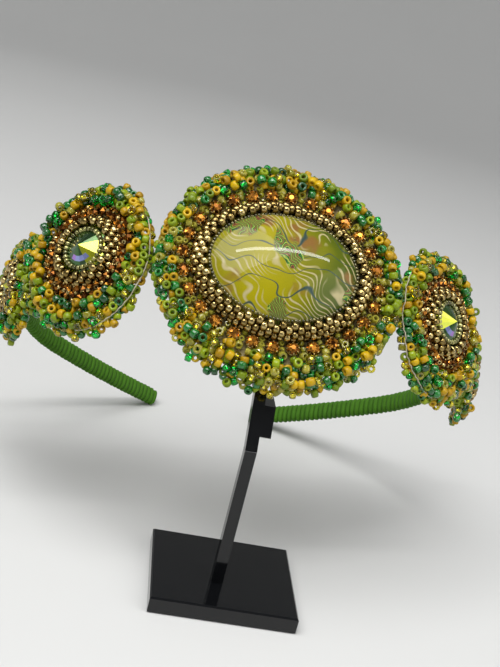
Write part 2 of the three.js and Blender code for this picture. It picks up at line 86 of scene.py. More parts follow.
class Finish:
    """A node material with helpers for the few patterns that the pieces share."""

    def __init__(self, name, **fixed):
        self.material = bpy.data.materials.new(name)
        self.material.use_nodes = True
        self.tree = self.material.node_tree
        self.shader = self.tree.nodes["Principled BSDF"]
        for socket, value in fixed.items():
            self.shader.inputs[socket.replace("_", " ")].default_value = value
        self.place = self.node("ShaderNodeTexCoord").outputs["Object"]

    def feed(self, socket, value):
        """Links a source to a socket, or sets the socket to a number or a colour."""
        if isinstance(value, (int, float)):
            socket.default_value = value
        elif isinstance(value, tuple):
            socket.default_value = (*value, 1)
        else:
            self.tree.links.new(value, socket)

    def node(self, kind, **settings):
        """New node, whose settings go to the input of that name or else to the node itself."""
        made = self.tree.nodes.new(kind)
        for key, value in settings.items():
            if key.replace("_", " ") in made.inputs:
                self.feed(made.inputs[key.replace("_", " ")], value)
            else:
                setattr(made, key, value)
        return made

    def attribute(self, name, output="Fac"):
        return self.node("ShaderNodeAttribute", attribute_name=name).outputs[output]

    def noise(self, scale, detail=3.0, rough=0.5, place=None, distortion=0.0, output="Fac"):
        made = self.node("ShaderNodeTexNoise", Scale=scale, Detail=detail, Roughness=rough,
                         Distortion=distortion, Vector=place or self.place)
        return made.outputs[output]

    def ramp(self, value, stops):
        made = self.node("ShaderNodeValToRGB", Fac=value)
        elements = made.color_ramp.elements
        while len(elements) < len(stops):
            elements.new(0.5)
        for element, (position, color) in zip(elements, stops):
            element.position = position
            element.color = (*color, 1)
        return made.outputs["Color"]

    def mask(self, value, low, high):
        """Black up to the low value, white from the high one on."""
        return self.ramp(value, [(0.0, BLACK), (low, BLACK), (high, WHITE)])

    def span(self, value, low, high):
        made = self.node("ShaderNodeMapRange", Value=value, To_Min=low, To_Max=high)
        return made.outputs["Result"]

    def blend(self, share, first, second, mode="MIX"):
        made = self.node("ShaderNodeMix", data_type="RGBA", blend_type=mode)
        for number, value in ((0, share), (6, first), (7, second)):
            self.feed(made.inputs[number], value)
        return made.outputs[2]

    def done(self, color, rough, relief, strength, depth):
        """The material, once its shader has its colour, roughness and bump."""
        bump = self.node("ShaderNodeBump", Strength=strength, Distance=depth, Height=relief)
        self.feed(self.shader.inputs["Base Color"], color)
        self.feed(self.shader.inputs["Roughness"], rough)
        self.feed(self.shader.inputs["Normal"], bump.outputs["Normal"])
        return self.material


def toned(name, low, high, rough, bump=0.15, **fixed):
    """Glass or metal whose colour runs from low to high by each bead's own tone."""
    finish = Finish(name, **fixed)
    color = finish.ramp(finish.attribute("tone"), [(0.0, low), (1.0, high)])
    grain = finish.span(finish.noise(GRAIN_SCALE, 2.0), *rough)
    return finish.done(color, grain, finish.noise(RELIEF_SCALE, 1.0), bump, RELIEF_DEPTH)


# Joined meshes
def flattened(faces):
    """Corner numbers of all faces in a row, and how many each face has."""
    return np.array([i for face in faces for i in face]), np.array([len(face) for face in faces])


class Shape:
    """A small closed mesh that is copied many times, with a part number for each face."""

    def __init__(self, corners, faces, parts):
        self.corners = np.array(corners, float)
        self.loops, self.totals = flattened(faces)
        self.parts = np.array(parts, int)


class Joined:
    """Collects placed shapes and becomes one mesh object."""

    def __init__(self, name, materials, smooth=True):
        self.name = name
        self.materials = materials
        self.smooth = smooth
        self.corners, self.loops, self.totals = [], [], []
        self.slots, self.tones = [], []
        self.count = 0

    def add(self, corners, loops, totals, slots, tones):
        self.corners.append(corners)
        self.loops.append(loops + self.count)
        self.totals.append(totals)
        self.slots.append(slots)
        self.tones.append(tones)
        self.count += len(corners)

    def add_faces(self, corners, faces, slot=0, tones=0.0):
        """Adds faces given as lists of corner numbers, with one tone or a tone for each corner."""
        self.add(np.asarray(corners, float), *flattened(faces), np.full(len(faces), slot),
                 np.broadcast_to(tones, len(corners)))

    def place(self, shape, centers, axes, sizes, slots, tones):
        """Copies the shape to each center, its Z along that center's axis.

        A size can be one number, one for each copy or three for each copy. A slot can be one
        number, one for each copy or one for each of the copy's parts.
        """
        amount, size = len(centers), len(shape.corners)
        sizes = np.array(sizes, float)
        if sizes.ndim < 2:
            sizes = np.broadcast_to(sizes.reshape(-1, 1), (amount, 3))
        scaled = shape.corners[None] * sizes[:, None, :]
        corners = np.einsum("nij,nvj->nvi", bases(axes), scaled) + np.asarray(centers)[:, None, :]
        loops = shape.loops[None] + (np.arange(amount) * size)[:, None]
        slots = np.asarray(slots)
        if slots.ndim < 2:
            slots = np.broadcast_to(slots.reshape(-1, 1), (amount, shape.parts.max() + 1))
        self.add(corners.reshape(-1, 3), loops.ravel(), np.tile(shape.totals, amount),
                 slots[:, shape.parts].ravel(), np.repeat(np.asarray(tones, float), size))

    def build(self, space, slot, *replaced):
        mesh = bpy.data.meshes.new(self.name)
        spots = np.concatenate(self.corners)
        loops = np.concatenate(self.loops)
        totals = np.concatenate(self.totals)
        mesh.vertices.add(len(spots))
        mesh.vertices.foreach_set("co", space.out(spots).ravel())
        mesh.loops.add(len(loops))
        mesh.loops.foreach_set("vertex_index", loops)
        polygons = mesh.polygons
        polygons.add(len(totals))
        polygons.foreach_set("loop_start", np.concatenate([[0], np.cumsum(totals)[:-1]]))
        polygons.foreach_set("loop_total", totals)
        polygons.foreach_set("material_index", np.concatenate(self.slots))
        polygons.foreach_set("use_smooth", np.full(len(totals), self.smooth))
        mesh.update(calc_edges=True)
        tone = mesh.attributes.new("tone", "FLOAT", "POINT")
        tone.data.foreach_set("value", np.concatenate(self.tones).astype(np.float32))
        spot = mesh.attributes.new("spot", "FLOAT_VECTOR", "POINT")
        spot.data.foreach_set("vector", spots.astype(np.float32).ravel())
        for material in self.materials:
            mesh.materials.append(material)
        piece = bpy.data.objects.new(self.name, mesh)
        bpy.context.scene.collection.objects.link(piece)
        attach(piece, "root")
        if replaced:
            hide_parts(*replaced)


def unit(vectors):
    vectors = np.asarray(vectors, float)
    return vectors / np.linalg.norm(vectors, axis=-1, keepdims=True)


def bases(axes, spins=None):
    """Right-handed bases whose third vector is the axis, turned about it by the spin."""
    axes = unit(axes)
    helper = np.where(np.abs(axes[:, 2:3]) < 0.9, [[0.0, 0.0, 1.0]], [[1.0, 0.0, 0.0]])
    first = unit(np.cross(helper, axes))
    second = np.cross(axes, first)
    if spins is not None:
        cos, sin = np.cos(spins)[:, None], np.sin(spins)[:, None]
        first, second = first * cos + second * sin, second * cos - first * sin
    return np.stack([first, second, axes], axis=2)


def on_circle(radius, angle, height):
    return radius * math.cos(angle), radius * math.sin(angle), height


def turned(profile, around, closed_profile=True, parts=None):
    """Shape turned about Z from (radius, height) pairs."""
    rows = len(profile)
    corners = [on_circle(radius, TURN * i / around, height)
               for i in range(around) for radius, height in profile]
    faces = []
    labels = []
    for i in range(around):
        here, there = i * rows, (i + 1) % around * rows
        for row in range(rows if closed_profile else rows - 1):
            after = (row + 1) % rows
            faces.append((here + row, there + row, there + after, here + after))
            labels.append(parts[row] if parts else 0)
    return Shape(corners, faces, labels)


def ring_solid(rows, around, fans=False):
    """Faces of a solid of rings of corners: its ends are flat, or fans to two last points."""
    faces = []
    for row in range(rows - 1):
        for i in range(around):
            a, b = row * around + i, row * around + (i + 1) % around
            faces.append((a, b, b + around, a + around))
    last, end = (rows - 1) * around, rows * around
    if not fans:
        return faces + [tuple(reversed(range(around))), tuple(range(last, end))]
    for i in range(around):
        j = (i + 1) % around
        faces += [(j, i, end), (last + i, last + j, end + 1)]
    return faces


def ring_corners(line, radius, first, second, sides):
    """Corners of rings round a line, from the first direction towards the second."""
    angles = TURN * np.arange(sides) / sides
    spokes = (np.cos(angles)[None, :, None] * first[:, None]
              + np.sin(angles)[None, :, None] * second[:, None])
    return (line[:, None] + np.reshape(radius, (-1, 1, 1)) * spokes).reshape(-1, 3)


def tube(joined, line, radius, sides, slot, tone):
    """Closed round tube along a line of points."""
    line = np.asarray(line)
    ahead = unit(np.gradient(line, axis=0))
    side = unit(np.cross(ahead, np.array([0.31, 0.17, 0.93])))
    corners = ring_corners(line, radius, side, np.cross(ahead, side), sides)
    joined.add_faces(corners, ring_solid(len(line), sides), slot, tone)


# Frames of the medallions
OVAL_STEPS = 720


def corners_of(name):
    data = nodes[name].data
    flat = np.empty(len(data.vertices) * 3)
    data.vertices.foreach_get("co", flat)
    return flat.reshape(-1, 3)


def thin_axis(points):
    spread = points - points.mean(axis=0)
    return np.linalg.svd(spread, full_matrices=False)[2][2]


class Space:
    """A frame in the world: millimetres inside, metres outside."""

    def __init__(self, origin, basis):
        self.origin = np.array(origin)
        self.basis = np.array(basis)

    def out(self, points):
        return (np.asarray(points) @ self.basis) * MM + self.origin

    def into(self, points):
        return ((np.asarray(points) - self.origin) @ self.basis.T) / MM

    def box(self, name):
        points = self.into(corners_of(name))
        return points.min(axis=0), points.max(axis=0)

    def oval(self, name):
        low, high = self.box(name)
        return Oval(*((low + high) / 2)[:2], *((high - low) / 2)[:2])


class Oval:
    """An upright oval in a medallion's plane, in millimetres."""

    def __init__(self, x, y, half_x, half_y):
        self.x, self.y, self.half_x, self.half_y = x, y, half_x, half_y

    def grown(self, offset):
        return Oval(self.x, self.y, self.half_x + offset, self.half_y + offset)

    def at(self, angles):
        places = self.x + self.half_x * np.cos(angles), self.y + self.half_y * np.sin(angles)
        return np.stack(places, axis=-1)

    def outward(self, angles):
        return unit(np.stack([np.cos(angles) / self.half_x, np.sin(angles) / self.half_y], axis=-1))

    def run(self):
        """Fine angles, and how far along the oval each lies."""
        angles = np.linspace(0, TURN, OVAL_STEPS + 1)
        steps = np.linalg.norm(np.diff(self.at(angles), axis=0), axis=1)
        return angles, np.concatenate([[0], np.cumsum(steps)])

    def length(self):
        return float(self.run()[1][-1])

    def angles(self, count, phase=0.0):
        """Angles that stand evenly along the oval."""
        fine, run = self.run()
        return np.interp((np.arange(count) + phase) / count * run[-1], run, fine)


BAND_NORMAL = thin_axis(corners_of("hair_band"))
BAND_NORMAL = BAND_NORMAL * np.sign(BAND_NORMAL[2])


def medallion_space(backing, front):
    """Frame on a felt plate's back: X along the band, Y up, Z out of the face."""
    points = corners_of(backing)
    face = thin_axis(points)
    middle = (points.min(axis=0) + points.max(axis=0)) / 2
    lead = corners_of(front)
    ahead = (lead.min(axis=0) + lead.max(axis=0)) / 2 - middle
    face = face * np.sign(face @ ahead)
    along = unit(np.cross(BAND_NORMAL, face))
    basis = np.array([along, np.cross(face, along), face])
    local = points @ basis.T
    middle = basis.T @ ((local.min(axis=0) + local.max(axis=0)) / 2)
    thickness = np.ptp(local[:, 2])
    return Space(middle - face * thickness / 2, basis)


WORLD = Space((0, 0, 0), np.eye(3))
HANDS = ("left", "right")
STONES = {"center": "cabochon"}
for part in ("side", "end"):
    STONES.update({f"{hand}_{part}": f"{hand}_{part}_stone" for hand in HANDS})
spaces = {label: medallion_space(f"{label}_backing", stone) for label, stone in STONES.items()}


# Finishes
SATIN = {"Coat_Roughness": 0.12, "Specular_IOR_Level": 0.25}
OCHRE = toned("ochre_glass", (0.34, 0.19, 0.0015), (0.56, 0.36, 0.003), (0.3, 0.45),
              Coat_Weight=0.2, **SATIN)
LIME = toned("lime_opaque_glass", (0.12, 0.18, 0.002), (0.26, 0.34, 0.005), (0.3, 0.45),
             Coat_Weight=0.25, **SATIN)
GREEN_LUSTER = toned("green_luster_glass", (0.001, 0.05, 0.006), (0.008, 0.18, 0.02), (0.06, 0.12),
                     Coat_Weight=0.8, Coat_Roughness=0.05, Coat_IOR=1.6, Specular_IOR_Level=0.3)
CLEAR_ROUGH = (0.02, 0.06)
YELLOW_LINED = toned("yellow_lined_glass", (0.62, 0.50, 0.01), (0.95, 0.85, 0.06), CLEAR_ROUGH,
                     Transmission_Weight=0.95, IOR=1.52)
EMERALD_LINED = toned("emerald_lined_glass", (0.0, 0.34, 0.02), (0.01, 0.70, 0.08), CLEAR_ROUGH,
                      Transmission_Weight=0.95, IOR=1.52)
OLIVE_CLEAR = toned("olive_clear_glass", (0.42, 0.40, 0.03), (0.72, 0.66, 0.10), CLEAR_ROUGH,
                    Transmission_Weight=0.6, IOR=1.52)
SILVER_LINING = toned("silver_lining", (0.85, 0.85, 0.78), (1.0, 1.0, 0.94), (0.1, 0.22),
                      Metallic=1.0)
GOLD = toned("bronze_gold_metal", (0.20, 0.135, 0.04), (0.58, 0.45, 0.19), (0.14, 0.28),
             Metallic=1.0)
RIM_GLASS = toned("rim_bead_glass", (0.02, 0.02, 0.004), (0.20, 0.17, 0.05), (0.03, 0.08),
                  Coat_Weight=0.5, Metallic=0.4)
RIM_LIME = toned("rim_bead_lime_glass", (0.08, 0.08, 0.012), (0.50, 0.47, 0.16), (0.03, 0.08),
                 Coat_Weight=1.0, Metallic=0.6)
# Topaz facets: random tones from dark amber to bright orange, partly the crystal's own colour and
# partly painted glints and painted shade
TOPAZ = toned("topaz_facets", (0.07, 0.018, 0.002), (0.86, 0.36, 0.045), (0.06, 0.18),
              Metallic=0.85)
THREAD = toned("pale_thread", (0.34, 0.30, 0.20), (0.52, 0.48, 0.36), (0.7, 0.9), bump=0.4)
CEMENT = toned("joint_cement", (0.40, 0.40, 0.41), (0.5, 0.5, 0.5), (0.1, 0.25))


def felt_finish():
    finish = Finish("beige_felt_wool", Sheen_Weight=0.5, Sheen_Roughness=0.5)
    fibers = finish.noise(1600, 6.0, 0.7, distortion=1.2)
    tint = finish.blend(finish.noise(260), (0.25, 0.19, 0.065), (0.38, 0.31, 0.13))
    color = finish.blend(finish.span(fibers, 0.0, 0.5), tint, (0.42, 0.36, 0.20))
    return finish.done(color, finish.span(fibers, 0.85, 1.0), fibers, 0.8, 0.0005)


def cord_finish():
    finish = Finish("green_cord_fabric", Sheen_Weight=0.06, Sheen_Roughness=0.4,
                    Specular_IOR_Level=0.2)
    strands = finish.noise(1500, 4.0, 0.6, distortion=0.6)
    wear = finish.span(finish.noise(90, 2.0), 0.0, 0.3)
    # The tone attribute holds a random tone for each turn of cord plus painted shade: darker in the
    # grooves between turns, lighter on each turn's outer face
    base = finish.blend(finish.attribute("tone"), (0.010, 0.045, 0.002), (0.06, 0.19, 0.007))
    worn = finish.blend(wear, base, (0.09, 0.22, 0.012))
    color = finish.blend(finish.span(strands, 0.0, 0.35), worn, (0.012, 0.05, 0.004))
    return finish.done(color, finish.span(strands, 0.6, 0.85), strands, 0.45, 0.0003)


def acrylic_finish():
    finish = Finish("black_acrylic_gloss", Coat_Weight=0.15, Coat_Roughness=0.02,
                    Specular_IOR_Level=0.35)
    dust = finish.mask(finish.noise(900, 2.0, 0.8), 0.66, 0.74)
    color = finish.blend(dust, (0.0035, 0.0038, 0.0045), (0.02, 0.02, 0.022))
    haze = finish.span(finish.noise(35, 4.0, 0.6), 0.05, 0.16)
    return finish.done(color, haze, finish.noise(60, 2.0), 0.04, 0.0002)


def stone_finish():
    """Coated crystal: each facet's tone picks its colour from a run of the coating's greens,
    painted yellow highlights and painted violet reflections.
    """
    finish = Finish("coated_lime_crystal", Metallic=0.75, Coat_Weight=1.0, Coat_Roughness=0.01)
    # The yellow stops are painted highlights and the violet stops painted reflections; the greens
    # are the coating's own colour
    facets = finish.ramp(finish.attribute("tone"), [
        (0.0, (0.004, 0.03, 0.006)),
        (0.2, (0.03, 0.12, 0.01)),
        (0.4, (0.26, 0.34, 0.005)),
        (0.6, (0.80, 0.78, 0.01)),
        (0.8, (0.85, 0.80, 0.06)),
        (0.9, (0.34, 0.38, 0.85)),
        (1.0, (0.48, 0.22, 0.80)),
    ])
    depth = finish.span(finish.noise(380, 2.0), 0.0, 0.45)
    color = finish.blend(depth, facets, (0.03, 0.10, 0.01))
    polish = finish.span(finish.noise(700, 2.0), 0.04, 0.12)
    return finish.done(color, polish, finish.noise(90, 1.0), 0.05, 0.0002)


def picture_finish():
    """Marbled paper with combed strokes under polished glass, in the stone's frame."""
    finish = Finish("printed_glass_dome", Coat_Weight=0.4, Coat_Roughness=0.03, Coat_IOR=1.5,
                    Specular_IOR_Level=0.1)
    spot = finish.attribute("spot", "Vector")

    def bent(reach, scale):
        """The stone's places, pushed about by a noise of that reach and scale."""
        swirl = finish.noise(scale, 1.0, place=spot, output="Color")
        push = finish.node("ShaderNodeVectorMath", operation="SCALE", Vector=swirl, Scale=reach)
        moved = finish.node("ShaderNodeVectorMath", operation="ADD", Vector=spot)
        finish.feed(moved.inputs[1], push.outputs["Vector"])
        return moved.outputs["Vector"]

    def wave(scale, distortion, direction, place, detail=2.0):
        made = finish.node("ShaderNodeTexWave", bands_direction=direction, Scale=scale,
                           Distortion=distortion, Detail=detail, Detail_Scale=0.6, Vector=place)
        return made.outputs["Fac"]

    broad_bend = bent(16.0, 0.09)
    close_bend = bent(9.0, 0.22)
    across = finish.node("ShaderNodeSeparateXYZ", Vector=broad_bend).outputs["X"]
    share = finish.node("ShaderNodeMath", operation="MULTIPLY_ADD")
    for socket, value in zip(share.inputs, (across, 0.024, 0.26)):
        finish.feed(socket, value)
    ground = finish.ramp(share.outputs[0], [
        (0.0, (0.22, 0.20, 0.002)),
        (0.30, (0.31, 0.27, 0.001)),
        (0.52, (0.23, 0.21, 0.002)),
        (0.70, (0.085, 0.11, 0.003)),
        (1.0, (0.02, 0.045, 0.004)),
    ])
    mauve = finish.mask(finish.noise(0.10, 1.5, place=close_bend), 0.56, 0.66)
    picture = finish.blend(mauve, ground, (0.20, 0.10, 0.02))
    strokes = finish.mask(wave(0.27, 1.2, "DIAGONAL", broad_bend), 0.70, 1.0)
    fields = finish.mask(finish.noise(0.12, 1.0, place=spot), 0.41, 0.55)
    combed = finish.blend(1.0, strokes, fields, "MULTIPLY")
    picture = finish.blend(combed, picture, (0.42, 0.36, 0.18))
    slate = finish.mask(wave(0.06, 1.5, "Y", broad_bend), 0.985, 1.0)
    picture = finish.blend(slate, picture, (0.025, 0.055, 0.05))
    leaves = finish.ramp(wave(0.40, 5.0, "DIAGONAL", close_bend, 3.0), [
        (0.0, (0.10, 0.03, 0.02)),
        (0.14, (0.26, 0.12, 0.03)),
        (0.22, (0.36, 0.34, 0.03)),
        (0.30, (0.01, 0.09, 0.015)),
        (0.72, (0.003, 0.06, 0.012)),
        (0.86, (0.06, 0.20, 0.02)),
        (1.0, (0.34, 0.37, 0.06)),
    ])
    patches = finish.mask(finish.noise(0.085, 2.5, place=broad_bend), 0.535, 0.56)
    color = finish.blend(patches, picture, leaves)
    rough = finish.span(finish.noise(300, 2.0), 0.35, 0.45)
    return finish.done(color, rough, finish.noise(50, 1.0), 0.01, 0.0001)


FELT = felt_finish()
CORD = cord_finish()
ACRYLIC = acrylic_finish()
STONE = stone_finish()
PICTURE = picture_finish()


# Beads: a hole and a length are shares of the bead's diameter
BEAD_AROUND = 12
BEAD_SECTION = 8
BEAD_ROUNDING = 0.72


def ring_bead(hole, length):
    """Bead of outer diameter 1: a rounded ring whose hole wall is part 1."""
    middle = (0.5 + hole / 2) / 2
    wall = (0.5 - hole / 2) / 2
    profile = []
    labels = []
    for k in range(BEAD_SECTION):
        angle = TURN * (k + 0.5) / BEAD_SECTION
        across, along = math.cos(angle), math.sin(angle)
        profile.append((
            middle + wall * math.copysign(abs(across) ** BEAD_ROUNDING, across),
            length / 2 * math.copysign(abs(along) ** BEAD_ROUNDING, along),
        ))
        labels.append(1 if k == BEAD_SECTION // 2 - 1 else 0)
    return turned(profile, BEAD_AROUND, parts=labels)


SEED_BEAD = ring_bead(hole=0.36, length=0.72)
GOLD_BEAD = ring_bead(hole=0.34, length=0.68)
BEAD_FINISHES = [OCHRE, LIME, GREEN_LUSTER, YELLOW_LINED, EMERALD_LINED, OLIVE_CLEAR, SILVER_LINING]
# For each kind of bead: its share, the finish of its glass and the finish of its hole
BEAD_KINDS = (
    (0.25, 0, 0),
    (0.23, 1, 1),
    (0.20, 2, 2),
    (0.13, 3, 6),
    (0.10, 4, 6),
    (0.09, 5, 5),
)
BEAD_SHARES = np.cumsum([kind[0] for kind in BEAD_KINDS])
BEAD_SLOTS = np.array([kind[1:] for kind in BEAD_KINDS])


def bead_slots(chance, amount):
    """Finishes of beads whose kinds are drawn by their shares."""
    return BEAD_SLOTS[np.searchsorted(BEAD_SHARES, chance.random(amount) * BEAD_SHARES[-1])]


# Seed bead borders, in millimetres
FELT_TOP = 1.4
SEED_SIZE = 2.42
SEED_PITCH = 2.12
SEED_ROW = 1.95
EDGE_INSET = 1.15
EDGE_HEIGHT = 0.95
SHOULDER_INSET = EDGE_INSET + 0.45
SHOULDER_HEIGHT = 2.75
FIELD_HEIGHT = FELT_TOP + 1.15
INNER_ROOM = 0.75
STACK_CLEARANCE = 1.85
STACK_REACH = 2.7
LOOP_PITCH = 5.2
LOOP_INSET = 0.45
# Beads of an edge loop: step along the edge and share of the loop's drop
LOOP_BEADS = ((-1.55, 0.2), (0.0, 1.0), (1.55, 0.2))
# Shares of beads that lie flat and that stand on edge; the others are strung along the border
FLAT_SHARE = 0.42
RADIAL_SHARE = 0.22


def seed_border(label, hub, gap, seed, skip, heap=5):
    """Field of mixed beads round a hub, with stacks on it and loops round its free edge."""
    space = spaces[label]
    chance = np.random.default_rng(seed)
    inner = space.oval(f"{label}_{hub}").grown(gap)
    outer = space.oval(f"{label}_bead_border")
    rim = outer.grown(-EDGE_INSET)
    places, normals = [], []

    def width(angles):
        return np.linalg.norm(outer.at(angles) - inner.at(angles), axis=1)

    def row(inset, height, lean, trimmed=False):
        oval = outer.grown(-inset)
        count = max(6, int(round(oval.length() / SEED_PITCH)))
        angles = oval.angles(count, chance.random())
        if trimmed:
            angles = angles[width(angles) > inset + INNER_ROOM]
        flat = oval.at(angles)
        flat = flat + chance.normal(0, 0.14, flat.shape)
        places.extend(np.column_stack([flat, height + chance.uniform(-0.18, 0.22, len(angles))]))
        away = outer.outward(angles)
        normals.extend(unit(np.column_stack([away * lean, np.full(len(angles), 1 - lean)])))

    row(EDGE_INSET, EDGE_HEIGHT, 0.75)
    row(SHOULDER_INSET, SHOULDER_HEIGHT, 0.4)
    inset = SHOULDER_INSET + SEED_ROW
    while inset < width(np.array([-TURN / 4]))[0]:
        row(inset, FIELD_HEIGHT, 0.1, trimmed=True)
        inset += SEED_ROW

    tries = len(places) * heap
    angles = chance.uniform(0, TURN, tries)
    shares = chance.uniform(0.12, 0.95, tries)
    lifts = chance.uniform(1.3, 1.9, tries)
    for angle, share, lift in zip(angles, shares, lifts):
        flat = inner.at(angle) * (1 - share) + rim.at(angle) * share
        spot = np.array([*flat, FIELD_HEIGHT + lift])
        gaps = np.linalg.norm(np.array(places) - spot, axis=1)
        if gaps.min() > STACK_CLEARANCE and (gaps < STACK_REACH).sum() >= 2:
            places.append(spot)
            normals.append(unit([*(outer.outward(angle) * 0.35 * share), 1.0]))
    sizes = list(SEED_SIZE * chance.uniform(0.90, 1.04, len(places)))

    loops = rim.angles(int(round(rim.length() / LOOP_PITCH)), 0.3)
    for angle in loops[~skip(loops)]:
        drop = chance.uniform(0.7, 1.5)
        away = outer.outward(angle)
        along = np.array([-away[1], away[0]])
        level = chance.uniform(0.1, 1.1)
        edge = outer.grown(-LOOP_INSET).at(angle)
        for step, reach in LOOP_BEADS:
            flat = edge + along * step * chance.uniform(0.85, 1.1) + away * drop * reach
            places.append([*flat, level + chance.uniform(-0.2, 0.2)])
            normals.append([*unit(along - away * 0.9 * np.sign(step)), 0.15])
            sizes.append(SEED_SIZE * chance.uniform(0.80, 0.95))

    normals = np.array(normals)
    amount = len(places)
    slots = bead_slots(chance, amount)
    strung = unit(np.cross(normals, [[0.0, 0.0, 1.0]]) + 1e-3)
    radial = unit(np.cross(strung, normals) + 1e-3)
    style = chance.random(amount)[:, None]
    axes = np.where(style < FLAT_SHARE, normals, strung)
    axes = np.where(style > 1 - RADIAL_SHARE, radial, axes)
    axes = unit(axes + chance.normal(0, 0.24, axes.shape))
    border = Joined(f"{label}_border_beads", BEAD_FINISHES)
    border.place(SEED_BEAD, places, axes, sizes, slots, chance.random(amount))
    border.build(space, "seed_beads", f"{label}_bead_border")


JOINT_PITCH = 1.95
JOINT_LONGEST = 11
JOINT_LEVELS = (0.9, 2.7)
# Turns down from the joint at which strings of beads lie: the first, the end and the step
JOINT_TURNS = (0.22, 1.3, 0.14)


def joint_beads(hand, seed):
    """Strings of beads that close the wedge below the joint of a side and an end medallion."""
    chance = np.random.default_rng(seed)

    def edge(part, turn, height):
        """Point on a medallion's edge, turned down from where it faces the other one."""
        label = f"{hand}_{part}"
        rim = spaces[label].oval(f"{label}_bead_border").grown(-0.4)
        angle = math.pi + turn if label in ("left_side", "right_end") else -turn
        return WORLD.into(spaces[label].out([*rim.at(angle), height]))

    places, axes = [], []
    for height in JOINT_LEVELS:
        for turn in np.arange(*JOINT_TURNS):
            first, last = edge("side", turn, height), edge("end", turn, height)
            reach = float(np.linalg.norm(last - first))
            if reach > JOINT_LONGEST:
                break
            count = max(1, int(round(reach / JOINT_PITCH)))
            for share in (np.arange(count) + 0.5) / count:
                places.append(first + (last - first) * share + chance.normal(0, 0.16, 3))
                axes.append(unit(last - first) + chance.normal(0, 0.45, 3))
    amount = len(places)
    slots = bead_slots(chance, amount)
    sizes = SEED_SIZE * chance.uniform(0.88, 1.0, amount)
    beads = Joined(f"{hand}_joint_beads", BEAD_FINISHES)
    beads.place(SEED_BEAD, places, unit(axes), sizes, slots, chance.random(amount))
    beads.build(WORLD, "seed_beads")


# Gold bead bezels: lines of (offset from the stone's edge, height) that the columns climb
GOLD_SIZE = 2.3
GOLD_PITCH = 1.62
GOLD_STEP = GOLD_SIZE * 0.96
# Row of tiny beads against the stone: inset, depth under the top and pitch in bead sizes
RIM_INSET = GOLD_SIZE * 0.55
RIM_DEPTH = 0.55
RIM_PITCH = 0.92
CENTER_CLIMB = ((2.15, 0.75), (2.25, 2.2), (1.35, 3.5), (0.0, 4.35))
SIDE_CLIMB = ((1.95, 0.75), (2.0, 1.9), (1.1, 3.1), (-0.35, 3.9))
END_CLIMB = ((1.95, 0.7), (2.0, 1.7), (1.2, 2.6), (0.2, 3.2))


def bead_row(oval, angles, height):
    """Places at a height along an oval, and the direction of the oval at each."""
    away = oval.outward(angles)
    level = np.zeros(len(angles))
    return (np.column_stack([oval.at(angles), level + height]),
            np.column_stack([-away[:, 1], away[:, 0], level]))


def gold_bezel(label, climb, seed, rim_size, rim_glass):
    """Zigzag columns of gold beads round the stone, and a row of tiny beads against it."""
    space = spaces[label]
    chance = np.random.default_rng(seed)
    stone = space.oval(STONES[label])
    seat = space.box(f"{label}_bezel")[0][2]
    bezel = Joined(f"{label}_bezel_beads", [GOLD, rim_glass])
    count = int(round(stone.grown(climb[1][0]).length() / GOLD_PITCH / 2))
    offsets, heights = np.array(climb).T
    run = np.concatenate([[0], np.cumsum(np.hypot(np.diff(offsets), np.diff(heights)))])
    for parity in (0, 1):
        for way in np.arange(GOLD_STEP / 2 * parity, run[-1], GOLD_STEP):
            oval = stone.grown(np.interp(way, run, offsets))
            angles = oval.angles(count, parity / 2)
            centers, axes = bead_row(oval, angles, seat + np.interp(way, run, heights))
            centers += chance.normal(0, 0.05, centers.shape)
            axes += chance.normal(0, 0.10, axes.shape)
            sizes = GOLD_SIZE * chance.uniform(0.93, 1.04, count)
            bezel.place(GOLD_BEAD, centers, axes, sizes, 0, chance.random(count))
    oval = stone.grown(offsets[-1] - RIM_INSET)
    count = int(round(oval.length() / (rim_size * RIM_PITCH)))
    centers, axes = bead_row(oval, oval.angles(count), seat + heights[-1] - RIM_DEPTH)
    bezel.place(GOLD_BEAD, centers, axes, rim_size, 1, chance.random(count))
    bezel.build(space, "gold_beads", f"{label}_bezel")


# Crystals
def facet_rings(rings, facets):
    """Corners of rings of (radius, height, phase), the face under them and the facets between."""
    corners = [on_circle(radius, TURN * (i + phase) / facets, height)
               for radius, height, phase in rings for i in range(facets)]
    faces = [tuple(reversed(range(facets)))]
    for level in range(len(rings) - 1):
        twist = rings[level + 1][2] - rings[level][2]
        for i in range(facets):
            a, b = level * facets + i, level * facets + (i + 1) % facets
            c, d = a + facets, b + facets
            if twist > 0:
                faces += [(a, b, c), (b, d, c)]
            elif twist < 0:
                faces += [(a, d, c), (a, b, d)]
            else:
                faces.append((a, b, d, c))
    return corners, faces


def add_facets(joined, corners, faces, center, basis, size, tones):
    """Adds flat facets, each with corners of its own, so that each can have its own tone."""
    loops, totals = flattened(faces)
    points = np.array(corners, float)[loops]
    joined.add((points * size) @ basis.T + center, np.arange(len(points)), totals,
               np.zeros(len(faces), int), np.repeat(tones, totals))


CRYSTAL_FACETS = 11
CRYSTAL_SIZE = 3.35
CRYSTAL_LIFT = 1.45
# Cut crystal of diameter 1: culet, girdle, crown and table
CRYSTAL_RINGS = ((0.20, -0.34, 0.5), (0.49, -0.04, 0.0), (0.5, 0.03, 0.0), (0.36, 0.20, 0.5),
                 (0.17, 0.30, 0.0))
CUP = turned(((0.34, 0.0), (0.48, 0.06), (0.53, 0.22), (0.55, 0.42), (0.51, 0.46), (0.46, 0.40),
              (0.30, 0.06)), 20)
PRONG = turned(((0.0, -0.5), (0.38, -0.42), (0.5, 0.0), (0.38, 0.42), (0.0, 0.5)), 8,
               closed_profile=False)
PRONG_COUNT = 8
PRONG_RADIUS = 1.58
PRONG_HEIGHT = 1.75
PRONG_SIZE = (0.56, 0.56, 0.95)
# Beads between the crystals: shift outwards, size and height
GAP_BEADS = ((1.75, 2.1, 0.95), (0.3, 1.5, 1.1), (-1.35, 1.5, 0.7))
OUTSIDE_SHIFT = 2.65
OUTSIDE_SIZE = 1.85


